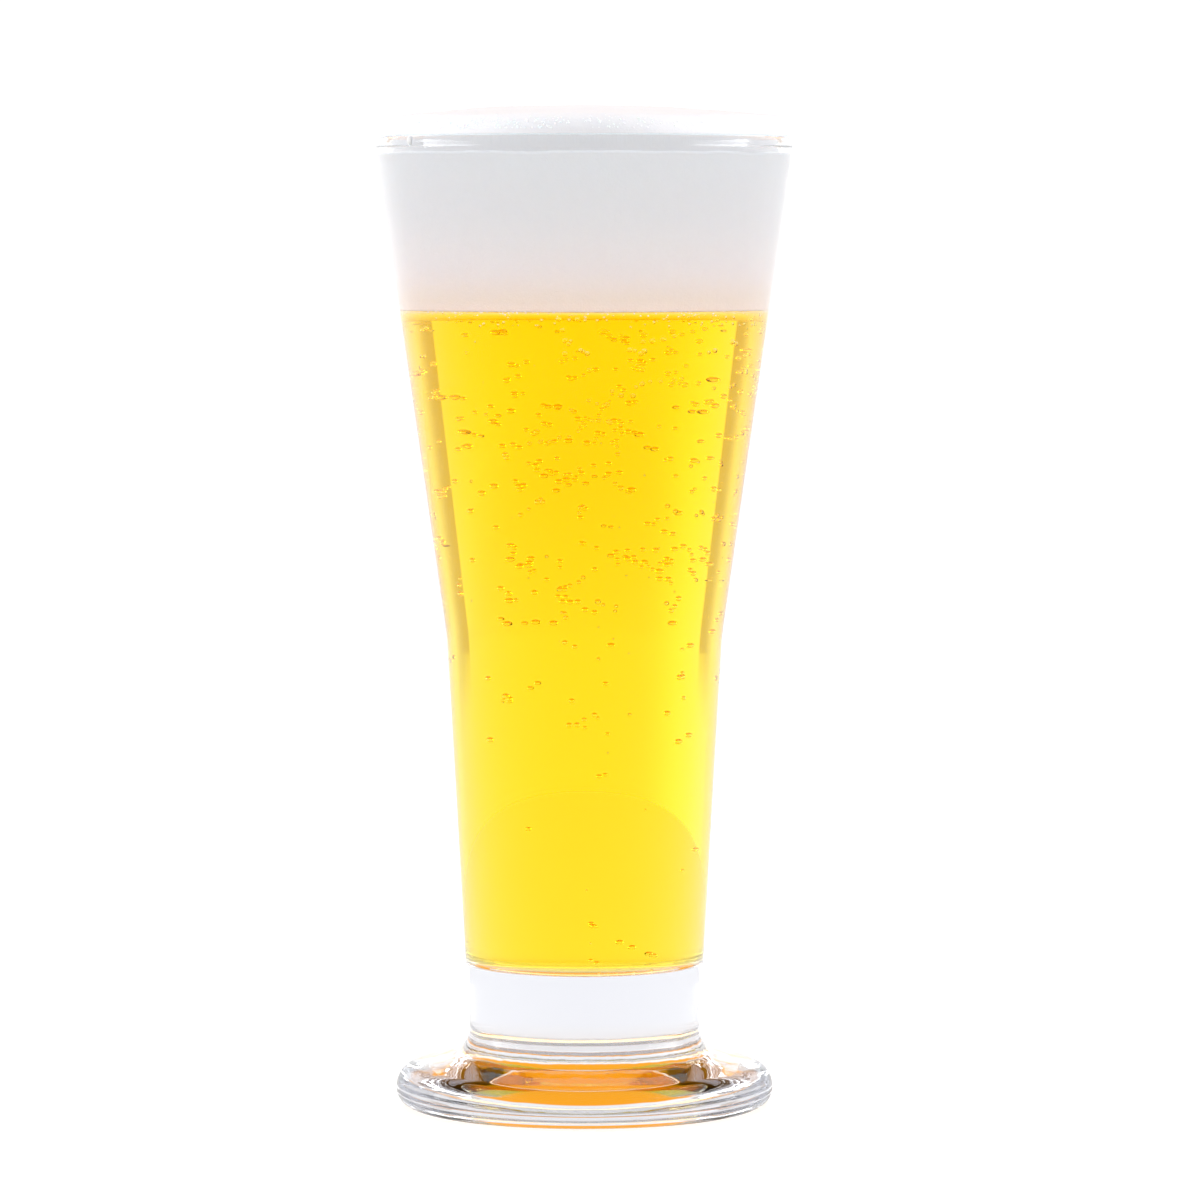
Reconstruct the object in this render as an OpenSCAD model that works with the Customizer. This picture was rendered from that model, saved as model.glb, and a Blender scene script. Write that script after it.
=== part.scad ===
// A tall footed beer glass, filled with lager under a domed head of foam.
// Everything is turned about the vertical axis. The origin is on the axis, at table height.

/* [Glass body] */
// Outside diameter at the rim
rim_d = 91; // [84:0.5:110]
// Height of the rim above the table
glass_h = 212; // [170:1:260]
// Outside diameter where the wide upper cone meets the slim lower one
waist_d = 60.2; // [50:0.2:74]
// Height of that bend above the table
waist_h = 103; // [70:1:130]
// Radius that softens the bend
waist_fillet = 60; // [20:5:120]
// Outside diameter of the solid stem, where it runs into the foot
stem_d = 50; // [41:0.2:60]

/* [Walls] */
// Wall thickness just under the lip
wall_top = 2.7; // [2:0.1:4]
// How much thicker the rounded lip is than the wall under it
lip_extra = 0.3; // [0.1:0.1:1]
// Wall thickness at the bend
wall_waist = 2.8; // [2:0.1:4.5]
// Wall thickness beside the inner floor
wall_floor = 3; // [2:0.1:5]
// Height of the inner floor above the table
floor_h = 31; // [25:0.5:44]
// Radius between the inner floor and the wall
floor_fillet = 3; // [1:0.5:8]

/* [Foot] */
// Diameter of the foot at its widest
foot_d = 82.6; // [72:0.2:104]
// Height at which the top of the foot would meet its upright edge
foot_edge_h = 8.3; // [6:0.1:12]
// Fall of the foot's top, in degrees
foot_slope = 14; // [6:1:20]
// Radius of the foot's upper edge
foot_shoulder = 5.1; // [2:0.1:6.5]
// Radius of the foot's lower edge
foot_lower_edge = 4; // [1:0.1:5]
// Radius between the foot and the stem
stem_fillet = 6.1; // [2:0.1:9]
// Diameter of the hollow under the foot
punt_d = 64; // [40:1:68]
// Depth of the hollow under the foot
punt_h = 1.8; // [0.8:0.1:4]

/* [Drink] */
// Depth of the foam inside the glass, below the rim
head_depth = 37.4; // [10:0.2:70]
// How far the foam stays inside the rim's outer edge, all round
dome_inset = 0.9; // [0.4:0.1:2]
// Height of the foam's upright side above the rim
dome_side_h = 1.2; // [0.4:0.1:4]
// Radius of the foam's rounded shoulder
dome_shoulder = 3.4; // [1:0.1:6]
// Rise of the foam's middle above its shoulder
dome_crown = 2.2; // [0.6:0.1:8]

/* [Hidden] */

$fn = 96;
arc_step = 6;
least_arc_steps = 6;

rim_r = rim_d / 2;
foot_r = foot_d / 2;
stem_r = stem_d / 2;
punt_r = punt_d / 2;
foot_top_h = foot_edge_h + (foot_r - stem_r) * tan(foot_slope);
beer_level = glass_h - head_depth;
drink_top = glass_h + dome_side_h + dome_shoulder + dome_crown;

// The wall joins the lip where a chord as long as the wall is thick crosses it.
lip_r = (wall_top + lip_extra) / 2;
lip_centre = [rim_r - lip_r, glass_h - lip_r];
lip_join_angle = acos(wall_top / 2 / lip_r);
lip_join_h = lip_centre[1] - lip_r * sin(lip_join_angle);

// Inside radius at the floor, one wall in from the slim cone's outside.
slim_cone_gain = (waist_d / 2 - stem_r) / (waist_h - foot_top_h);
floor_r = stem_r + (floor_h - foot_top_h) * slim_cone_gain - wall_floor;

// Outlines are lists of corners: distance from the axis, height, and the corner's rounding.
function place(corner) = [corner[0], corner[1]];
function unit(v) = v / norm(v);
function short_turn(a) = a > 180 ? a - 360 : a < -180 ? a + 360 : a;

function arc(centre, r, from, turn) =
    let (steps = max(least_arc_steps, ceil(abs(turn) / arc_step)))
    [for (i = [0:steps]) centre + r * [cos(from + turn * i / steps), sin(from + turn * i / steps)]];

// A corner's rounding takes up half of the shorter side at most, so that two never meet.
function rounded_corner(before, corner, after) =
    let (
        back = place(before) - place(corner),
        ahead = place(after) - place(corner),
        half_angle = acos(unit(back) * unit(ahead)) / 2,
        r = min(corner[2], min(norm(back), norm(ahead)) / 2 * tan(half_angle)),
        centre = place(corner) + unit(unit(back) + unit(ahead)) * r / sin(half_angle),
        start = place(corner) + unit(back) * r / tan(half_angle) - centre,
        end = place(corner) + unit(ahead) * r / tan(half_angle) - centre,
        from = atan2(start[1], start[0])
    )
    arc(centre, r, from, short_turn(atan2(end[1], end[0]) - from));

function rounded(corners) = [
    for (i = [0:len(corners) - 1])
        each i == 0 || i == len(corners) - 1
            ? [place(corners[i])]
            : rounded_corner(corners[i - 1], corners[i], corners[i + 1])
];

// The hollow under the foot, from its middle out to the ring that the glass stands on.
function punt() =
    let (sphere_r = (punt_r * punt_r + punt_h * punt_h) / (2 * punt_h))
    arc([0, punt_h - sphere_r], sphere_r, 90, -asin(punt_r / sphere_r));

function outside() = rounded([
    [punt_r, 0],
    [foot_r, 0, foot_lower_edge],
    [foot_r, foot_edge_h, foot_shoulder],
    [stem_r, foot_top_h, stem_fillet],
    [waist_d / 2, waist_h, waist_fillet],
    [lip_centre[0] + wall_top / 2, lip_join_h]
]);

function lip() = arc(lip_centre, lip_r, -lip_join_angle, 180 + 2 * lip_join_angle);

function inside() = rounded([
    [lip_centre[0] - wall_top / 2, lip_join_h],
    [waist_d / 2 - wall_waist, waist_h, waist_fillet],
    [floor_r, floor_h, floor_fillet],
    [0, floor_h]
]);

// The top of the foam, from the axis out: a shallow cap that runs smoothly into a round
// shoulder, then an upright side down to the lip.
function dome() =
    let (
        shoulder = [rim_r - dome_inset - dome_shoulder, glass_h + dome_side_h],
        rise = dome_shoulder + dome_crown,
        cap_r = (shoulder[0] * shoulder[0] + rise * rise - dome_shoulder * dome_shoulder)
            / (2 * dome_crown),
        cap_angle = asin(shoulder[0] / (cap_r - dome_shoulder))
    )
    concat(
        arc([0, drink_top - cap_r], cap_r, 90, -cap_angle),
        arc(shoulder, dome_shoulder, 90 - cap_angle, cap_angle - 90)
    );

// The part of the lip that the foam covers.
function lip_under_foam() = [for (p = lip()) if (p[0] < rim_r - dome_inset) p];

module glass_section() {
    polygon(concat(punt(), outside(), lip(), inside()));
}

// All that the glass holds, beer and foam in one outline.
module contents_section() {
    polygon(concat(inside(), dome(), lip_under_foam()));
}

module layer_section(low, high) {
    intersection() {
        contents_section();
        translate([0, low])
            square([rim_d, high - low]);
    }
}

module glass() {
    color([0.93, 0.95, 0.97, 0.35])
        rotate_extrude()
            glass_section();
}

module beer() {
    color([1, 0.85, 0.02])
        rotate_extrude()
            layer_section(0, beer_level);
}

module foam() {
    color([0.96, 0.95, 0.93])
        rotate_extrude()
            layer_section(beer_level, drink_top);
}

glass();
beer();
foam();
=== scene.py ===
import math
import random

import bmesh
import bpy
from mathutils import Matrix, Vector, noise


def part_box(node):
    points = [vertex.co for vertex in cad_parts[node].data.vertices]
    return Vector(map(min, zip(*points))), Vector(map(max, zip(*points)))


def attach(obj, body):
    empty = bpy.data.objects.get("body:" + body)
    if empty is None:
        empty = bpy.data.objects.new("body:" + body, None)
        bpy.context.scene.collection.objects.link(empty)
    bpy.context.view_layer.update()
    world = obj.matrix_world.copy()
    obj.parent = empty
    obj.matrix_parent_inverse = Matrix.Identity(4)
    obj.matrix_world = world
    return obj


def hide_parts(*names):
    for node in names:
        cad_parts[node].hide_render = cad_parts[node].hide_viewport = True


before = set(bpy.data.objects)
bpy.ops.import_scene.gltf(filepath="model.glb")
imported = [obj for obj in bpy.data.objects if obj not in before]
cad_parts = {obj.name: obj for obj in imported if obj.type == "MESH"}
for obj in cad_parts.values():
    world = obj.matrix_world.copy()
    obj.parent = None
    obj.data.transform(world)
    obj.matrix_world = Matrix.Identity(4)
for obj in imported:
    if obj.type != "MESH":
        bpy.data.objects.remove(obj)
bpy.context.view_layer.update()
print("frame loaded:", sorted(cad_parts))

mm = 0.001
scene = bpy.context.scene
scene.view_settings.view_transform = "Standard"
scene.cycles.max_bounces = 34
scene.cycles.transmission_bounces = 26
scene.cycles.glossy_bounces = 22  # light caught in the foot turns back many times
scene.cycles.transparent_max_bounces = 16
scene.cycles.diffuse_bounces = 5
scene.cycles.blur_glossy = 0.0  # glass stays sharp for light scattered by the foam

glassLow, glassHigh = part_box("glass")
beerLow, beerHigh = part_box("beer")
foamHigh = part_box("foam")[1]
tableHeight = glassLow.z
rimHeight = glassHigh.z
rimRadius = glassHigh.x
innerFloor = beerLow.z
beerLevel = beerHigh.z
foamTop = foamHigh.z


# An outline is a list of (distance from the axis, height), followed anticlockwise.
def arcPoints(centre, radius, start, turn, stepAngle=4):
    steps = max(4, math.ceil(abs(turn) / stepAngle))
    points = []
    for i in range(steps + 1):
        angle = math.radians(start + turn * i / steps)
        points.append((centre[0] + radius * math.cos(angle), centre[1] + radius * math.sin(angle)))
    return points


def roundCorners(corners):
    points = []
    for i, corner in enumerate(corners):
        here = Vector(corner[:2])
        radius = corner[2] if len(corner) > 2 else 0
        if radius == 0 or i in (0, len(corners) - 1):
            points.append(tuple(here))
            continue
        back = (Vector(corners[i - 1][:2]) - here).normalized()
        ahead = (Vector(corners[i + 1][:2]) - here).normalized()
        half = back.angle(ahead) / 2
        centre = here + (back + ahead).normalized() * radius / math.sin(half)
        start = here + back * radius / math.tan(half) - centre
        end = here + ahead * radius / math.tan(half) - centre
        fromAngle = math.degrees(math.atan2(start.y, start.x))
        turn = math.degrees(math.atan2(end.y, end.x)) - fromAngle
        turn = (turn + 180) % 360 - 180
        points += arcPoints(tuple(centre), radius, fromAngle, turn)
    return points


def addSupportRings(points, near=0.25 * mm, spacing=5 * mm):
    # Long straight stretches get rings near their ends, which keeps smooth shading true.
    result = [points[0]]
    for a, b in zip(points, points[1:]):
        a, b = Vector(a), Vector(b)
        length = (b - a).length
        if length < 1e-7:
            continue
        if length > 4 * near:
            count = max(1, round((length - 2 * near) / spacing))
            stops = [near] + [near + (length - 2 * near) * k / count for k in range(1, count + 1)]
            result += [tuple(a + (b - a) * stop / length) for stop in stops]
        result.append(tuple(b))
    return result


def growOutline(points, amount):
    # Moves every point outwards, square to the outline, and keeps the ends on the axis.
    grown = []
    for i, point in enumerate(points):
        before = Vector(points[max(0, i - 1)])
        after = Vector(points[min(len(points) - 1, i + 1)])
        along = (after - before).normalized()
        moved = Vector(point) + Vector((along.y, -along.x)) * amount
        if point[0] < 1e-6:
            moved.x = 0
        grown.append(tuple(moved))
    return grown


def smoothStep(low, high, value):
    t = min(1, max(0, (value - low) / (high - low)))
    return t * t * (3 - 2 * t)


def makePiece(name, vertices, faces, material):
    mesh = bpy.data.meshes.new(name)
    mesh.from_pydata(vertices, [], faces)
    mesh.update()
    mesh.polygons.foreach_set("use_smooth", [True] * len(mesh.polygons))
    mesh.materials.append(material)
    piece = bpy.data.objects.new(name, mesh)
    scene.collection.objects.link(piece)
    return piece


def turnOutline(points, segments, shift):
    # Turns an outline that starts and ends on the axis. shift gives each point's small move.
    vertices, faces, rings = [], [], []
    for radius, height in points:
        if radius < 1e-6:
            vertices.append(Vector((0, 0, height)))
            rings.append([len(vertices) - 1] * segments)
            continue
        ring = []
        for j in range(segments):
            ring.append(len(vertices))
            vertices.append(onCircle(radius, 2 * math.pi * j / segments, height))
        rings.append(ring)
    for low, high in zip(rings, rings[1:]):
        for j in range(segments):
            k = (j + 1) % segments
            corners = [low[j], low[k], high[k], high[j]]
            face = [c for n, c in enumerate(corners) if c not in corners[:n]]
            if len(face) > 2:
                faces.append(face)
    return [tuple(v + shift(v)) for v in vertices], faces


def stayStill(v):
    return Vector((0, 0, 0))


def onCircle(reach, angle, height):
    return Vector((reach * math.cos(angle), reach * math.sin(angle), height))


def ballTemplate(level):
    bm = bmesh.new()
    bmesh.ops.create_icosphere(bm, subdivisions=level, radius=1)
    vertices = [v.co.copy() for v in bm.verts]
    faces = [[v.index for v in f.verts] for f in bm.faces]
    bm.free()
    return vertices, faces


def joinBalls(balls, template, hollow=False):
    # balls holds (centre, radius, flatness). A hollow in a liquid faces inwards.
    ballVertices, ballFaces = template
    vertices, faces = [], []
    for centre, radius, flatness in balls:
        first = len(vertices)
        for v in ballVertices:
            vertices.append((
                centre[0] + v.x * radius,
                centre[1] + v.y * radius,
                centre[2] + v.z * radius * flatness,
            ))
        for face in ballFaces:
            corners = [first + c for c in face]
            faces.append(corners[::-1] if hollow else corners)
    return vertices, faces


def newMaterial(name):
    material = bpy.data.materials.new(name)
    material.use_nodes = True
    tree = material.node_tree
    principled = tree.nodes["Principled BSDF"]
    material.cycles.emission_sampling = "NONE"  # faint glows are found well enough by chance
    return material, tree, principled


def addNode(tree, kind, **settings):
    node = tree.nodes.new(kind)
    for key, value in settings.items():
        if key in node.inputs:
            node.inputs[key].default_value = value
        else:
            setattr(node, key, value)
    return node


def setInputs(node, values):
    for key, value in values.items():
        node.inputs[key].default_value = value


def makeSurfaceWaves():
    # Gentle waves in the surface of pressed glass or set foam, put out as a normal and a mask.
    group = bpy.data.node_groups.new("surfaceWaves", "ShaderNodeTree")
    face = group.interface
    starts = {"Wave Scale": 60.0, "Fine Scale": 600.0, "Fine Share": 0.2, "Depth": 0.1}
    for label, value in starts.items():
        face.new_socket(label, in_out="INPUT", socket_type="NodeSocketFloat").default_value = value
    face.new_socket("Normal", in_out="OUTPUT", socket_type="NodeSocketVector")
    face.new_socket("Mask", in_out="OUTPUT", socket_type="NodeSocketFloat")
    inputs = group.nodes.new("NodeGroupInput")
    outputs = group.nodes.new("NodeGroupOutput")
    place = group.nodes.new("ShaderNodeTexCoord")
    wave = addNode(group, "ShaderNodeTexNoise", Detail=2.0)
    fine = addNode(group, "ShaderNodeTexNoise", Detail=3.0)
    blend = addNode(group, "ShaderNodeMix", data_type="FLOAT")
    bump = addNode(group, "ShaderNodeBump", Distance=mm)
    link = group.links.new
    link(place.outputs["Object"], wave.inputs["Vector"])
    link(place.outputs["Object"], fine.inputs["Vector"])
    link(inputs.outputs["Wave Scale"], wave.inputs["Scale"])
    link(inputs.outputs["Fine Scale"], fine.inputs["Scale"])
    link(inputs.outputs["Fine Share"], blend.inputs[0])
    link(wave.outputs["Fac"], blend.inputs[2])
    link(fine.outputs["Fac"], blend.inputs[3])
    link(blend.outputs[0], bump.inputs["Height"])
    link(inputs.outputs["Depth"], bump.inputs["Strength"])
    link(bump.outputs["Normal"], outputs.inputs["Normal"])
    link(blend.outputs[0], outputs.inputs["Mask"])
    return group


surfaceWaves = makeSurfaceWaves()


def placeWaves(tree, scale, fineScale, fineShare, depth):
    node = tree.nodes.new("ShaderNodeGroup")
    node.node_tree = surfaceWaves
    setInputs(node, {
        "Wave Scale": scale,
        "Fine Scale": fineScale,
        "Fine Share": fineShare,
        "Depth": depth,
    })
    return node


def fillStops(ramp, stops):
    # stops holds (position, red, green, blue), from the lowest to the highest
    elements = ramp.color_ramp.elements
    for end, stop in ((elements[0], stops[0]), (elements[1], stops[-1])):
        end.position, end.color = stop[0], stop[1:] + (1,)
    for stop in stops[1:-1]:
        elements.new(stop[0]).color = stop[1:] + (1,)


def absorbDepth(tree, shape):
    # What the tint leaves out is taken from light along its way
    depth = addNode(tree, "ShaderNodeVolumeAbsorption", Color=shape["tint"], Density=shape["absorption"])
    tree.links.new(depth.outputs["Volume"], tree.nodes["Material Output"].inputs["Volume"])


glassShape = {
    "waistRadius": 30.1 * mm,
    "waistHeight": 103 * mm,
    "waistRounding": 60 * mm,
    "stemRadius": 25 * mm,
    "footRadius": 41.3 * mm,
    "footEdgeHeight": 8.3 * mm,
    "footSlope": 14,
    "footShoulder": 5.1 * mm,
    "footLowerEdge": 4 * mm,
    "stemFillet": 6.1 * mm,
    "hollowRadius": 32 * mm,
    "hollowDepth": 1.8 * mm,
    "wallTop": 2.7 * mm,
    "wallWaist": 2.8 * mm,
    "wallFloor": 3 * mm,
    "lipExtra": 0.3 * mm,
    "floorFillet": 3 * mm,
    "segments": 320,
    "waveDepth": 0.22 * mm,  # unevenness of the pressed foot
    "waveSize": 8 * mm,
    "fineWaveShare": 0.25,
    "fineWaveScale": 2.6,
    "waveFrom": (2.5 * mm, 6 * mm),     # heights between which the unevenness sets in
    "waveTo": (14 * mm, 20 * mm),       # and dies out
    "waveEdge": (34.5 * mm, 37.5 * mm),  # distances between which it nearly ends
    "waveFront": 0.4,        # share of it that is left at the front and back
    "shine": 0.03,           # low, because most of the wall is wet on its inside
    "waveStrength": 0.25,
    "waveHeights": (8.4 * mm, 12.6 * mm, 16.8 * mm),  # where fine waves begin, are strongest and end
    "waveRampTop": 28 * mm,
    "absorption": 22.0,      # per metre, of what the tint leaves out
    "tint": (0.80, 0.81, 0.835, 1),
}

lipRadius = (glassShape["wallTop"] + glassShape["lipExtra"]) / 2
lipCentre = (rimRadius - lipRadius, rimHeight - lipRadius)
lipJoinAngle = math.degrees(math.acos(glassShape["wallTop"] / 2 / lipRadius))
lipJoinHeight = lipCentre[1] - lipRadius * math.sin(math.radians(lipJoinAngle))
footTopHeight = glassShape["footEdgeHeight"] + (
    glassShape["footRadius"] - glassShape["stemRadius"]
) * math.tan(math.radians(glassShape["footSlope"]))
slimConeGain = (glassShape["waistRadius"] - glassShape["stemRadius"]) / (
    glassShape["waistHeight"] - footTopHeight
)
floorRadius = (
    glassShape["stemRadius"]
    + (innerFloor - footTopHeight) * slimConeGain
    - glassShape["wallFloor"]
)

# From the middle of the inner floor, out and up the wall to the lip
innerWall = roundCorners([
    (0, innerFloor),
    (floorRadius, innerFloor, glassShape["floorFillet"]),
    (glassShape["waistRadius"] - glassShape["wallWaist"], glassShape["waistHeight"],
     glassShape["waistRounding"]),
    (lipCentre[0] - glassShape["wallTop"] / 2, lipJoinHeight),
])


def wallRadius(height):
    # Inside radius of the glass at a height
    for (r0, z0), (r1, z1) in zip(innerWall, innerWall[1:]):
        if z0 <= height <= z1 and z1 > z0:
            return r0 + (r1 - r0) * (height - z0) / (z1 - z0)
    return innerWall[-1][0]


def glassOutline():
    shape = glassShape
    radius, depth = shape["hollowRadius"], shape["hollowDepth"]
    hollowCurve = (radius ** 2 + depth ** 2) / (2 * depth)
    hollow = arcPoints((0, depth - hollowCurve), hollowCurve, 90,
                       -math.degrees(math.asin(radius / hollowCurve)), stepAngle=0.5)
    hollow[0] = (0, hollow[0][1])
    outside = roundCorners([
        (radius, tableHeight),
        (shape["footRadius"], tableHeight, shape["footLowerEdge"]),
        (shape["footRadius"], shape["footEdgeHeight"], shape["footShoulder"]),
        (shape["stemRadius"], footTopHeight, shape["stemFillet"]),
        (shape["waistRadius"], shape["waistHeight"], shape["waistRounding"]),
        (lipCentre[0] + shape["wallTop"] / 2, lipJoinHeight),
    ])
    lip = arcPoints(lipCentre, lipRadius, -lipJoinAngle, 180 + 2 * lipJoinAngle, stepAngle=6)
    return addSupportRings(hollow + outside[1:] + lip[1:-1] + innerWall[::-1])


def footWaves(v):
    # The upper side of the foot is a little uneven, as pressed glass is. The lowest ring stays flat.
    shape = glassShape
    radius = math.hypot(v.x, v.y)
    share = smoothStep(*shape["waveFrom"], v.z) * (1 - smoothStep(*shape["waveTo"], v.z))
    if share == 0 or radius < shape["stemRadius"] - 2 * mm:
        return stayStill(v)
    size = shape["waveSize"]
    fineWave = noise.noise(v * shape["fineWaveScale"] / size)
    wave = noise.noise(v / size) + shape["fineWaveShare"] * fineWave
    share *= shape["waveFront"] + (1 - shape["waveFront"]) * smoothStep(0.4, 0.9, abs(v.x) / radius)
    share *= 1 - 0.9 * smoothStep(*shape["waveEdge"], radius)
    depth = share * shape["waveDepth"] * (0.5 + 0.5 * max(-1, min(1, 1.6 * wave)))
    return Vector((-v.x / radius * 0.4, -v.y / radius * 0.4, -0.9)) * depth


def makeGlassMaterial():
    material, tree, principled = newMaterial("Clear_Glass")
    shape = glassShape
    shine, waveDepth = shape["shine"], shape["waveStrength"]
    setInputs(principled, {
        "Roughness": 0.0,
        "IOR": 1.5,
        "Specular Tint": (shine, shine, shine, 1),
        "Transmission Weight": 1.0,
    })
    waves = placeWaves(tree, scale=120.0, fineScale=420.0, fineShare=0.2, depth=waveDepth)
    tone = addNode(tree, "ShaderNodeMix", data_type="RGBA")
    tone.inputs[6].default_value = (0.985, 0.988, 1.0, 1)
    tone.inputs[7].default_value = (0.995, 0.996, 1.0, 1)
    place = tree.nodes.new("ShaderNodeTexCoord")
    axes = tree.nodes.new("ShaderNodeSeparateXYZ")
    low = addNode(tree, "ShaderNodeValToRGB")
    low.color_ramp.interpolation = "EASE"
    wavesFrom, wavesMost, wavesTo = (height / shape["waveRampTop"] for height in shape["waveHeights"])
    fillStops(low, (
        (wavesFrom, 0, 0, 0),
        (wavesMost, waveDepth, waveDepth, waveDepth),
        (wavesTo, 0, 0, 0),
    ))
    scaled = addNode(tree, "ShaderNodeMath", operation="DIVIDE")
    scaled.inputs[1].default_value = shape["waveRampTop"]
    link = tree.links.new
    link(waves.outputs["Mask"], tone.inputs[0])
    link(tone.outputs[2], principled.inputs["Base Color"])
    link(place.outputs["Object"], axes.inputs["Vector"])
    link(axes.outputs["Z"], scaled.inputs[0])
    link(scaled.outputs[0], low.inputs["Fac"])
    link(low.outputs["Color"], waves.inputs["Depth"])
    link(waves.outputs["Normal"], principled.inputs["Normal"])
    absorbDepth(tree, shape)
    return material


vertices, faces = turnOutline(glassOutline(), glassShape["segments"], footWaves)
glassPiece = makePiece("Footed_Glass", vertices, faces, makeGlassMaterial())
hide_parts("glass")
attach(glassPiece, "root")
print("glass made")


beerShape = {
    "intoWall": 0.1 * mm,
    "intoFoam": 0.3 * mm,
    "segments": 256,
    "absorption": 80.0,  # per metre, in blue
    "tint": (0.994, 0.912, 0.0, 1),
}


def beerOutline():
    wall = [p for p in addSupportRings(innerWall) if p[1] < beerLevel - 0.2 * mm]
    wall.append((wallRadius(beerLevel), beerLevel))
    grown = growOutline(wall, beerShape["intoWall"])
    top = beerLevel + beerShape["intoFoam"]
    edge = grown[-1][0]
    return addSupportRings(grown[:-1] + [(edge, beerLevel), (edge - 0.2 * mm, top), (0, top)])


def makeLiquidMaterial(name, cloudScale, shine):
    # Clear liquid with faint clouds in its tone
    material, tree, principled = newMaterial(name)
    setInputs(principled, {
        "Roughness": 0.0,
        "IOR": 1.333,
        "Specular Tint": (shine, shine, shine, 1),
        "Transmission Weight": 1.0,
    })
    cloud = addNode(tree, "ShaderNodeTexNoise", Scale=cloudScale, Detail=2.0)
    tone = addNode(tree, "ShaderNodeMix", data_type="RGBA")
    tone.inputs[6].default_value = (1, 1, 1, 1)
    tone.inputs[7].default_value = (1, 0.985, 0.95, 1)
    tree.links.new(cloud.outputs["Fac"], tone.inputs[0])
    tree.links.new(tone.outputs[2], principled.inputs["Base Color"])
    return material, tree


beerMaterial, beerTree = makeLiquidMaterial("Golden_Lager", cloudScale=18.0, shine=0.0)
absorbDepth(beerTree, beerShape)
vertices, faces = turnOutline(beerOutline(), beerShape["segments"], stayStill)
beerPiece = makePiece("Lager", vertices, faces, beerMaterial)
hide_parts("beer")
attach(beerPiece, "root")
print("beer made")


foamShape = {
    "intoWall": 0.1 * mm,
    "lipGap": 0.45 * mm,      # the foam draws back from the lip, so that the lip stays clear
    "clearBelowRim": 3.2 * mm,
    "edgeInset": 0.9 * mm,
    "sideHeight": 1.2 * mm,
    "shoulder": 3.4 * mm,
    "crown": 2.2 * mm,
    "overLip": -0.08 * mm,    # it sinks into the crest of the lip by this much
    "segments": 320,
    "swell": 0.35 * mm,
    "swellSize": 16 * mm,
    "pitted": 0.07 * mm,
    "pitSize": 0.8 * mm,
    "tonesFrom": 0.2 * mm,    # below the beer's surface
    "tonesTo": 46 * mm,       # above it
    "mottle": 1.6 * mm,       # how far the tones wander up and down
}


def domeOutline():
    # From the foam's upright side over the shoulder to the middle of the dome
    shape = foamShape
    side = rimRadius - shape["edgeInset"]
    shoulder = (side - shape["shoulder"], rimHeight + shape["sideHeight"])
    rise = shape["shoulder"] + shape["crown"]
    capRadius = (shoulder[0] ** 2 + rise ** 2 - shape["shoulder"] ** 2) / (2 * shape["crown"])
    capAngle = math.degrees(math.asin(shoulder[0] / (capRadius - shape["shoulder"])))
    cap = arcPoints((0, foamTop - capRadius), capRadius, 90 - capAngle, capAngle, stepAngle=0.25)
    cap[-1] = (0, foamTop)
    return arcPoints(shoulder, shape["shoulder"], 0, 90 - capAngle, stepAngle=4) + cap[1:]


def foamOutline():
    shape = foamShape
    clearFrom = rimHeight - shape["clearBelowRim"]
    wall = [
        p for p in addSupportRings(innerWall, spacing=1.2 * mm)
        if beerLevel + 0.2 * mm < p[1] < clearFrom
    ]
    column = [(0, beerLevel), (wallRadius(beerLevel), beerLevel)] + wall
    column = growOutline(column, shape["intoWall"])
    column[0] = (0, beerLevel)
    inner = lipCentre[0] - lipRadius - shape["lipGap"]
    dome = domeOutline()
    underside = rimHeight + shape["overLip"]
    throat = [
        (inner, clearFrom + 0.5 * mm),
        (inner, rimHeight - 0.6 * mm),
        (inner + 0.3 * mm, rimHeight - 0.1 * mm),
        (lipCentre[0] - 0.3 * mm, underside),
        (dome[0][0] - 0.4 * mm, underside),
        (dome[0][0] - 0.05 * mm, underside + 0.3 * mm),
    ]
    return addSupportRings(column + throat + dome, near=0.1 * mm, spacing=1.5 * mm)


def foamRelief(v):
    # Slow swells over the dome, and small pits where the bubbles are coarser, near the shoulder.
    radius = math.hypot(v.x, v.y)
    if v.z < rimHeight + 0.3 * mm or radius < 1e-6:
        return stayStill(v)
    share = smoothStep(rimHeight + 0.3 * mm, rimHeight + 2.5 * mm, v.z)
    swell = noise.noise(v / foamShape["swellSize"]) - 0.35
    outer = smoothStep(28 * mm, 42 * mm, radius)
    pits = noise.noise(v / foamShape["pitSize"]) - 0.6
    lift = share * foamShape["swell"] * swell + share * outer * foamShape["pitted"] * pits
    slope = smoothStep(38 * mm, 44 * mm, radius)
    return Vector((v.x / radius * slope, v.y / radius * slope, 1 - 0.5 * slope)) * lift


# From just under the beer's surface up to past the dome: share of the way, then red, green, blue.
# Besides the foam's own tone it holds painted light and shade, set by height.
foamToneAndPaintedLight = (
    # painted light: the lowest foam is lighter and warmer, for the light that the beer sends up into it
    (0.0, 1.0, 0.99, 0.9),
    (0.03, 1.0, 0.985, 0.93),
    (0.073, 1.0, 0.98, 0.945),
    (0.235, 0.985, 0.965, 0.955),
    (0.5, 0.955, 0.945, 0.937),
    (0.746, 0.95, 0.94, 0.93),
    (0.75, 1.0, 1.0, 1.0),       # painted highlight: a white ring under the lip
    (0.7585, 1.0, 1.0, 1.0),
    (0.762, 0.80, 0.79, 0.785),  # painted shade behind the lip
    (0.808, 0.80, 0.79, 0.785),
    (0.825, 0.785, 0.78, 0.80),  # the dome, darkened with painted shade that sets its brightness
    (1.0, 0.80, 0.805, 0.825),
)
# Light that the beer sends up into the lowest foam, over the same heights
foamGlow = (
    (0.0, 0.24, 0.19, 0.16),
    (0.02, 0.165, 0.09, 0.08),
    (0.073, 0.105, 0.05, 0.01),
    (0.2, 0.055, 0.024, 0.017),
    (0.3, 0.025, 0.012, 0.006),
    (0.45, 0.0, 0.0, 0.0),
)
undersideGlow = (0.22, 0.36, 0.40, 1)


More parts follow.
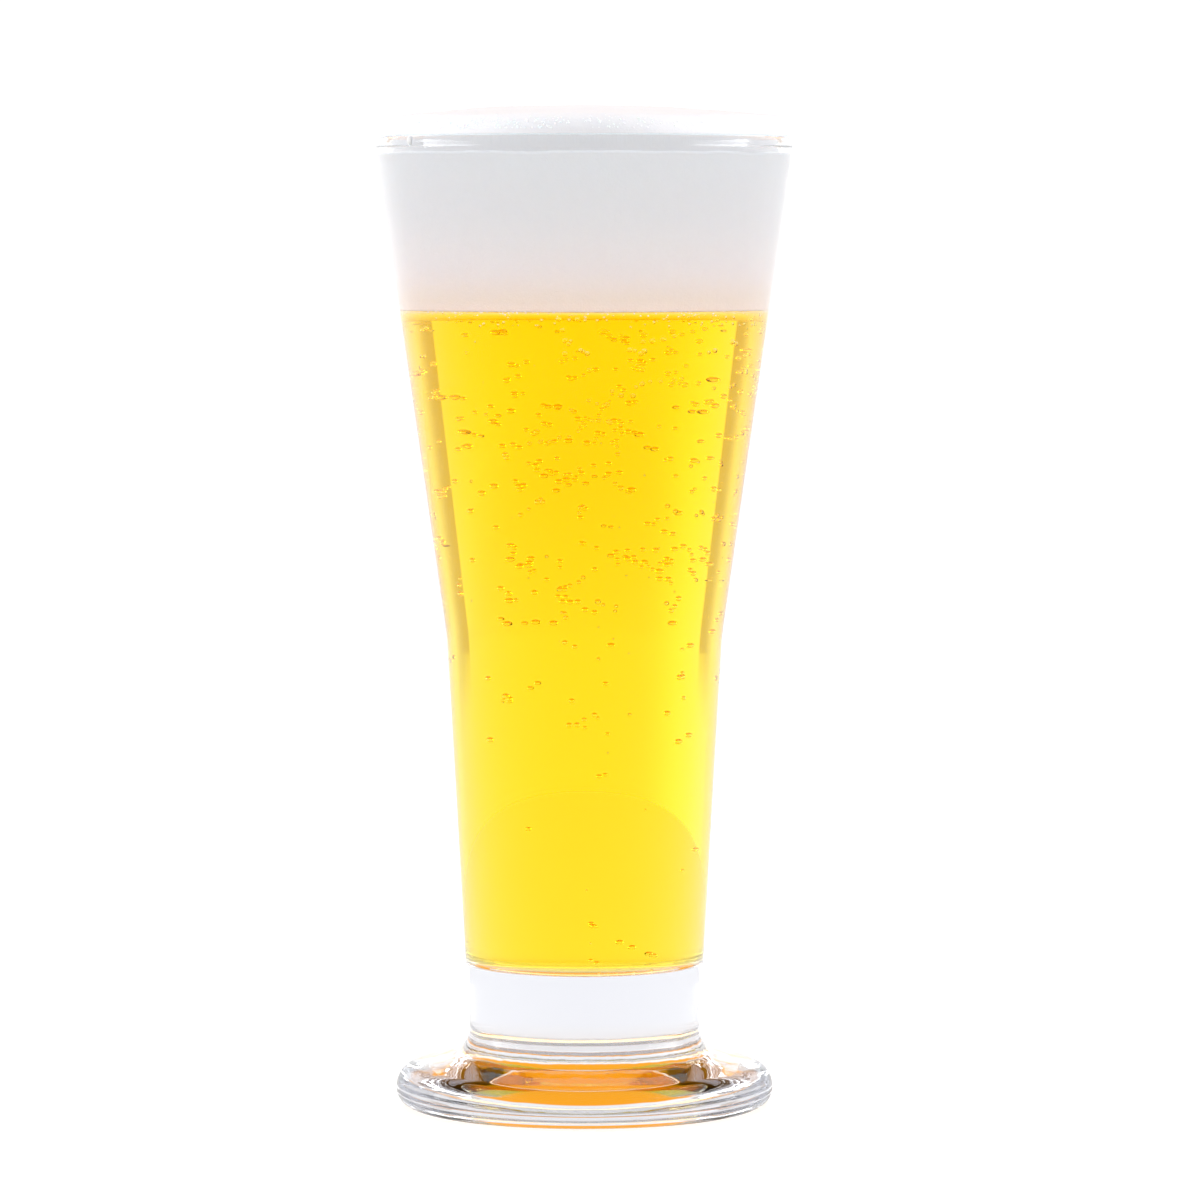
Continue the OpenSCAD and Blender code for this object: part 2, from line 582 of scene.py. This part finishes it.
def makeFoamMaterial():
    material, tree, principled = newMaterial("Beer_Foam")
    setInputs(principled, {
        "Roughness": 0.7,
        "Subsurface Weight": 0.2,
        "Subsurface Radius": (1.0, 0.85, 0.7),
        "Subsurface Scale": 3 * mm,
        "IOR": 1.33,
    })
    place = tree.nodes.new("ShaderNodeTexCoord")
    axes = tree.nodes.new("ShaderNodeSeparateXYZ")
    mottle = addNode(tree, "ShaderNodeTexNoise", Scale=70.0, Detail=4.0)
    drift = addNode(tree, "ShaderNodeMath", operation="MULTIPLY_ADD")
    drift.inputs[1].default_value = foamShape["mottle"]
    height = addNode(tree, "ShaderNodeMapRange")
    setInputs(height, {
        "From Min": beerLevel - foamShape["tonesFrom"],
        "From Max": beerLevel + foamShape["tonesTo"],
    })
    # the foam's own tone together with painted light and shade, by height
    toneAndPaintedLight = tree.nodes.new("ShaderNodeValToRGB")
    fillStops(toneAndPaintedLight, foamToneAndPaintedLight)
    glow = tree.nodes.new("ShaderNodeValToRGB")
    fillStops(glow, foamGlow)
    facing = tree.nodes.new("ShaderNodeSeparateXYZ")
    underside = addNode(tree, "ShaderNodeMapRange")
    setInputs(underside, {"From Min": -0.9, "From Max": -0.5, "To Min": 1.0, "To Max": 0.0})
    sent = addNode(tree, "ShaderNodeMix", data_type="RGBA")
    sent.inputs[7].default_value = undersideGlow
    principled.inputs["Emission Strength"].default_value = 1.0
    waves = placeWaves(tree, scale=500.0, fineScale=2600.0, fineShare=0.5, depth=0.25)
    link = tree.links.new
    link(place.outputs["Object"], axes.inputs["Vector"])
    link(place.outputs["Object"], mottle.inputs["Vector"])
    link(mottle.outputs["Fac"], drift.inputs[0])
    link(axes.outputs["Z"], drift.inputs[2])
    link(drift.outputs["Value"], height.inputs["Value"])
    link(height.outputs["Result"], toneAndPaintedLight.inputs["Fac"])
    link(height.outputs["Result"], glow.inputs["Fac"])
    link(toneAndPaintedLight.outputs["Color"], principled.inputs["Base Color"])
    link(place.outputs["Normal"], facing.inputs["Vector"])
    link(facing.outputs["Z"], underside.inputs["Value"])
    link(underside.outputs["Result"], sent.inputs[0])
    link(glow.outputs["Color"], sent.inputs[6])
    link(sent.outputs[2], principled.inputs["Emission Color"])
    link(waves.outputs["Normal"], principled.inputs["Normal"])
    return material


foamMaterial = makeFoamMaterial()
vertices, faces = turnOutline(foamOutline(), foamShape["segments"], foamRelief)
foamPiece = makePiece("Foam_Head", vertices, faces, foamMaterial)
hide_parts("foam")
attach(foamPiece, "root")
print("foam made")


bubbleShape = {
    "longestTrain": 5,
    "radius": (0.36 * mm, 0.66 * mm),
    "flatness": 0.9,
    "wallClearance": 0.35 * mm,
    "backShare": 0.72,       # share of the trains in the back half
    "most": 600,
    "step": (1.0 * mm, 2.2 * mm),  # from one bubble of a train to the next
    "stray": 0.6 * mm,
}


def insideBeer(point, radius):
    if not innerFloor + radius < point.z < beerLevel - radius - 0.2 * mm:
        return False
    return math.hypot(point.x, point.y) + radius + bubbleShape["wallClearance"] < wallRadius(point.z)


def randomVector(rng, upright):
    return Vector((rng.uniform(-1, 1), rng.uniform(-1, 1), rng.uniform(-upright, upright)))


def risingBubbles(rng):
    # Short uneven trains, thickest near the foam and to the right
    balls = []
    while len(balls) < bubbleShape["most"]:
        share = rng.random()
        if rng.random() > 0.05 + 0.95 * smoothStep(0.1, 0.9, share) ** 2.2:
            continue
        height = innerFloor + (beerLevel - innerFloor) * share
        reach = wallRadius(height) * rng.random() ** 0.4
        half = 1 if rng.random() < bubbleShape["backShare"] else -1
        start = onCircle(reach, half * rng.uniform(0, math.pi), height)
        if rng.random() > 0.7 + 0.3 * start.x / wallRadius(height):
            continue
        lean = randomVector(rng, 0.5).normalized()
        count = rng.choice((1, 1, 1, 2, 2, 3, 4, bubbleShape["longestTrain"]))
        for i in range(count):
            radius = rng.uniform(*bubbleShape["radius"])
            stray = randomVector(rng, 1) * bubbleShape["stray"]
            point = start + lean * i * rng.uniform(*bubbleShape["step"]) + stray
            if insideBeer(point, radius):
                balls.append((point, radius, bubbleShape["flatness"]))
    return balls


clingShape = {
    "onWall": 70,
    "wallSize": (0.1 * mm, 0.26 * mm),
    "floorRow": (3.0, 4.8, 6.6, 10.0, 12.9, 13.5, 17.6, -17.4),  # mm to the right of the middle
    "floorInset": 1.6 * mm,
    "floorSize": (0.26 * mm, 0.42 * mm),
    "underFoam": 90,
    "ringSize": (0.14 * mm, 0.34 * mm),
    "ringDrop": (0.6 * mm, 3.4 * mm),
    "ringInset": (0.5 * mm, 3.0 * mm),
    "ringAngle": (-0.6, 1.1),  # middle and spread, in radians: most are at the front, to the right
}


def clingingBubbles(rng):
    # Small bubbles on the wall, a row at the front of the inner floor, and a loose ring under the foam
    shape = clingShape
    balls = []
    for i in range(shape["onWall"]):
        height = innerFloor + (beerLevel - innerFloor) * rng.random() ** 0.5
        radius = rng.uniform(*shape["wallSize"])
        angle = rng.uniform(0, 2 * math.pi)
        balls.append((onCircle(wallRadius(height) - radius * 1.05, angle, height), radius, 1.0))
    for sideways in shape["floorRow"]:
        radius = rng.uniform(*shape["floorSize"])
        height = innerFloor + radius + 0.12 * mm
        reach = floorRadius - shape["floorInset"]
        x = sideways * mm
        balls.append((Vector((x, -math.sqrt(reach ** 2 - x ** 2), height)), radius, 1.0))
    for i in range(shape["underFoam"]):
        radius = rng.uniform(*shape["ringSize"])
        height = beerLevel - rng.uniform(*shape["ringDrop"])
        angle = rng.gauss(*shape["ringAngle"])
        reach = wallRadius(height) - rng.uniform(*shape["ringInset"])
        balls.append((onCircle(reach, angle, height), radius, 1.0))
    return balls


rng = random.Random(11)
smallBall = ballTemplate(3)
bubbleMaterial = makeLiquidMaterial("Gas_Bubble", cloudScale=900.0, shine=1.0)[0]
bubbleKinds = {"Rising_Bubbles": risingBubbles(rng), "Clinging_Bubbles": clingingBubbles(rng)}
for name, balls in bubbleKinds.items():
    vertices, faces = joinBalls(balls, smallBall, hollow=True)
    bubblePiece = makePiece(name, vertices, faces, bubbleMaterial)
    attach(bubblePiece, "root")
    print(name, "made:", len(balls), "bubbles")


frothShape = {
    "count": 620,
    "radius": (0.1 * mm, 0.3 * mm),
    "sunk": 0.55,            # share of the radius that lies below the foam's surface
    "thickestAt": math.radians(235),
    "tilt": (24, 16),        # middle and spread of the place on the foam's shoulder, in degrees
    "fringe": 260,
    "fringeRadius": (0.1 * mm, 0.24 * mm),
    "fringeDrop": 0.55 * mm,
    "fringeLowest": 1.5 * mm,
    "dripPlace": (-37.2 * mm, -26.2 * mm, 210.7 * mm),
    "dripSize": (0.75 * mm, 0.45 * mm, 1.05 * mm),
}


def frothBubbles(rng):
    # Coarser bubbles that stand out of the foam where it curves down to the lip, thickest at the left
    shape = foamShape
    side = rimRadius - shape["edgeInset"]
    centre = (side - shape["shoulder"], rimHeight + shape["sideHeight"])
    balls = []
    while len(balls) < frothShape["count"]:
        angle = rng.uniform(0, 2 * math.pi)
        nearLeft = math.cos(angle - frothShape["thickestAt"])
        if rng.random() > 0.15 + 0.85 * smoothStep(0.3, 0.95, nearLeft):
            continue
        radius = rng.uniform(*frothShape["radius"])
        tilt = math.radians(min(80, max(4, rng.gauss(*frothShape["tilt"]))))
        reach = shape["shoulder"] - radius * frothShape["sunk"]
        point = onCircle(centre[0] + reach * math.cos(tilt), angle, centre[1] + reach * math.sin(tilt))
        balls.append((point + foamRelief(point), radius, 1.0))
    return balls


def fringeBubbles(rng):
    # The lowest foam is loose. Single bubbles of it hang in the beer along the wall.
    balls = []
    for i in range(frothShape["fringe"]):
        angle = rng.uniform(0, 2 * math.pi)
        radius = rng.uniform(*frothShape["fringeRadius"])
        drop = abs(rng.gauss(0, frothShape["fringeDrop"]))
        height = beerLevel - min(drop, frothShape["fringeLowest"])
        reach = wallRadius(height) - radius * rng.uniform(0.9, 2.5)
        balls.append((onCircle(reach, angle, height), radius, 0.8))
    return balls


def makeFrothMaterial():
    material, tree, principled = newMaterial("Froth")
    setInputs(principled, {
        "Roughness": 0.12,
        "IOR": 1.33,
        "Subsurface Weight": 0.3,
        "Subsurface Scale": 1 * mm,
    })
    grain = addNode(tree, "ShaderNodeTexNoise", Scale=1500.0)
    tone = addNode(tree, "ShaderNodeMix", data_type="RGBA")
    tone.inputs[6].default_value = (0.94, 0.94, 0.95, 1)
    tone.inputs[7].default_value = (1.0, 1.0, 1.0, 1)
    tree.links.new(grain.outputs["Fac"], tone.inputs[0])
    tree.links.new(tone.outputs[2], principled.inputs["Base Color"])
    return material


tinyBall = ballTemplate(2)
frothKinds = {
    "Froth_Bubbles": (frothBubbles(rng), makeFrothMaterial()),
    "Foam_Fringe": (fringeBubbles(rng), foamMaterial),
}
for name, (balls, material) in frothKinds.items():
    vertices, faces = joinBalls(balls, tinyBall)
    frothPiece = makePiece(name, vertices, faces, material)
    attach(frothPiece, "root")


def dripShape(v):
    # A small tear of foam that hangs on the outside of the lip
    size = frothShape["dripSize"]
    taper = 1 - 0.35 * smoothStep(0, 1, -v.z)
    tear = Vector((v.x * size[0] * taper, v.y * size[1] * taper, v.z * size[2]))
    uneven = Vector((1, 1, 1)) * 0.08 * mm * noise.noise(v * 1.7)
    return Vector(frothShape["dripPlace"]) + tear + uneven


dripBall = ballTemplate(4)
dripVertices = [tuple(dripShape(v)) for v in dripBall[0]]
dripPiece = makePiece("Foam_Drip", dripVertices, dripBall[1], foamMaterial)
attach(dripPiece, "root")
print("froth and drip made")


# A window is (begins, full from, full to, ends). Directions are degrees from straight behind,
# heights are the upright part of a direction of length 1.
studio = {
    "floorRadius": 1.2,
    "floorColour": (0.84, 0.84, 0.845, 1),
    "floorLift": 0.12,       # for rays that look at the floor straight or through glass
    "cameraLift": 0.25,      # more, for the camera alone
    "floorGlow": (1.7, 1.15, 0.5, 1),   # light that the beer throws on the table under the foot
    "glowRadius": (30 * mm, 38 * mm),
    "cameraWhite": 1.1,
    "back": 1.16,            # seen straight through the slim part of the beer
    "backUpper": 1.13,
    "backTop": 1.21,
    "backLeft": 1.35,
    "backSteps": ((0.015, 0.035), (0.05, 0.075)),  # heights between which the back changes
    "leftStep": (-0.18, -0.42),
    "backEnds": (43, 46),
    "side": 1.25,
    "sideHigh": 1.05,
    "sideStep": (0.1, 0.2),
    "sideEnds": (95, 112),
    "front": 0.85,
    "gap": (0.85, 0.72, 0.62, 1),       # between the back and the sides, seen in the edge of the beer
    "gapAround": (32.5, 33.5, 36, 47),
    "gapHeight": (-0.03, -0.01, 0.14, 0.2),
    "warmCard": (1.35, 0.54, 0.03, 1),  # above and behind, seen only through the foot
    "warmHeight": (0.24, 0.34, 0.9, 0.96),
    "warmAround": (80, 60),
    "brightCard": 9.0,       # at both sides, seen in the lip and the bubbles
    "brightAround": (72, 78, 110, 118),
    "brightHeight": (-0.06, -0.02, 0.34, 0.4),
    "softFront": 0.87,       # what matt surfaces see around them
    "softSide": (1.10, 1.10, 1.16, 1),
    "softTop": (0.97, 0.98, 1.01, 1),
    "softAround": (105, 140),
    "softHeight": (0.35, 0.7),
}


def makeFloor():
    bm = bmesh.new()
    bmesh.ops.create_circle(bm, cap_ends=True, radius=studio["floorRadius"], segments=96)
    mesh = bpy.data.meshes.new("Floor")
    bm.to_mesh(mesh)
    bm.free()
    floor = bpy.data.objects.new("Floor", mesh)
    floor.location.z = tableHeight - 0.2 * mm
    scene.collection.objects.link(floor)
    material, tree, principled = newMaterial("Pale_Floor")
    setInputs(principled, {
        "Base Color": studio["floorColour"],
        "Specular IOR Level": 0.0,
        "Emission Strength": 1.0,
    })
    speckle = addNode(tree, "ShaderNodeTexNoise", Scale=40.0)
    tone = addNode(tree, "ShaderNodeMapRange")
    setInputs(tone, {"To Min": 0.5, "To Max": 0.65})
    place = tree.nodes.new("ShaderNodeTexCoord")
    distance = addNode(tree, "ShaderNodeVectorMath", operation="LENGTH")
    rays = tree.nodes.new("ShaderNodeLightPath")
    lift = addNode(tree, "ShaderNodeMapRange")
    setInputs(lift, {"To Min": studio["floorLift"], "To Max": 0.0})
    seen = addNode(tree, "ShaderNodeMath", operation="MULTIPLY_ADD")
    seen.inputs[1].default_value = studio["cameraLift"]
    under = addNode(tree, "ShaderNodeMapRange", interpolation_type="SMOOTHSTEP")
    glowFull, glowEnd = studio["glowRadius"]
    setInputs(under, {"From Min": glowFull, "From Max": glowEnd, "To Min": 1.0, "To Max": 0.0})
    glow = addNode(tree, "ShaderNodeMix", data_type="RGBA")
    glow.inputs[7].default_value = studio["floorGlow"]
    link = tree.links.new
    link(speckle.outputs["Fac"], tone.inputs["Value"])
    link(tone.outputs["Result"], principled.inputs["Roughness"])
    link(place.outputs["Object"], distance.inputs[0])
    link(distance.outputs["Value"], under.inputs["Value"])
    link(rays.outputs["Is Diffuse Ray"], lift.inputs["Value"])
    link(rays.outputs["Is Camera Ray"], seen.inputs[0])
    link(lift.outputs["Result"], seen.inputs[2])
    link(seen.outputs["Value"], glow.inputs[6])
    link(under.outputs["Result"], glow.inputs[0])
    link(glow.outputs[2], principled.inputs["Emission Color"])
    mesh.materials.append(material)


def makeStudioLight():
    # Clear parts see panels and cards all round, matt parts see one soft even light.
    world = bpy.data.worlds.new("Studio")
    scene.world = world
    world.use_nodes = True
    tree = world.node_tree
    background = tree.nodes["Background"]
    background.inputs["Strength"].default_value = 1.0
    link = tree.links.new

    def grey(value):
        return (value, value, value, 1)

    def calculate(operation, a, b=0.0):
        node = addNode(tree, "ShaderNodeMath", operation=operation)
        for socket, value in zip(node.inputs, (a, b)):
            if isinstance(value, (int, float)):
                socket.default_value = value
            else:
                link(value, socket)
        return node.outputs[0]

    def fade(value, low, high):
        # 0 below low, 1 above high, or the other way round
        node = addNode(tree, "ShaderNodeMapRange", interpolation_type="SMOOTHSTEP")
        setInputs(node, {"From Min": min(low, high), "From Max": max(low, high),
                         "To Min": float(low > high), "To Max": float(low < high)})
        link(value, node.inputs["Value"])
        return node.outputs["Result"]

    def window(value, edges):
        begins, fullFrom, fullTo, ends = edges
        return calculate("MULTIPLY", fade(value, begins, fullFrom), fade(value, ends, fullTo))

    def blend(share, a, b):
        node = addNode(tree, "ShaderNodeMix", data_type="RGBA")
        link(share, node.inputs[0])
        for socket, value in ((node.inputs[6], a), (node.inputs[7], b)):
            if isinstance(value, tuple):
                socket.default_value = value
            else:
                link(value, socket)
        return node.outputs[2]

    place = tree.nodes.new("ShaderNodeTexCoord")
    axes = tree.nodes.new("ShaderNodeSeparateXYZ")
    link(place.outputs["Generated"], axes.inputs["Vector"])
    x, y, z = axes.outputs
    turn = calculate("ABSOLUTE", calculate("ARCTAN2", x, y))
    around = calculate("MULTIPLY", turn, 180 / math.pi)
    firstStep, secondStep = studio["backSteps"]
    back = blend(fade(z, *firstStep), grey(studio["back"]), grey(studio["backUpper"]))
    back = blend(fade(z, *secondStep), back, grey(studio["backTop"]))
    back = blend(fade(x, *studio["leftStep"]), back, grey(studio["backLeft"]))
    sides = blend(fade(z, *studio["sideStep"]), grey(studio["side"]), grey(studio["sideHigh"]))
    sides = blend(fade(around, *studio["sideEnds"]), sides, grey(studio["front"]))
    clear = blend(fade(around, *studio["backEnds"]), back, sides)
    inGap = calculate("MULTIPLY", window(around, studio["gapAround"]), window(z, studio["gapHeight"]))
    clear = blend(inGap, clear, studio["gap"])
    warmRows, warmSides = window(z, studio["warmHeight"]), fade(around, *studio["warmAround"])
    inWarm = calculate("MULTIPLY", warmRows, warmSides)
    clear = blend(inWarm, clear, studio["warmCard"])
    brightRows, brightSides = window(z, studio["brightHeight"]), window(around, studio["brightAround"])
    inBright = calculate("MULTIPLY", brightRows, brightSides)
    clear = blend(inBright, clear, grey(studio["brightCard"]))
    soft = blend(fade(around, *studio["softAround"]), studio["softSide"], grey(studio["softFront"]))
    soft = blend(fade(z, *studio["softHeight"]), soft, studio["softTop"])
    rays = tree.nodes.new("ShaderNodeLightPath")
    scattered = calculate("GREATER_THAN", rays.outputs["Diffuse Depth"], 0.5)
    seen = blend(scattered, clear, soft)
    seen = blend(rays.outputs["Is Camera Ray"], seen, grey(studio["cameraWhite"]))
    link(seen, background.inputs["Color"])


cameraPlace = {"lens": 187.1, "sensor": 36, "place": (0, -1.36, 0.199), "aim": (0.0034, 0, 0.1109)}


def makeCamera():
    data = bpy.data.cameras.new("Camera")
    data.lens = cameraPlace["lens"]
    data.sensor_width = cameraPlace["sensor"]
    camera = bpy.data.objects.new("Camera", data)
    camera.location = cameraPlace["place"]
    direction = Vector(cameraPlace["aim"]) - camera.location
    camera.rotation_euler = direction.to_track_quat("-Z", "Y").to_euler()
    scene.collection.objects.link(camera)
    scene.camera = camera


makeFloor()
makeStudioLight()
makeCamera()
print("stage, light and camera made")
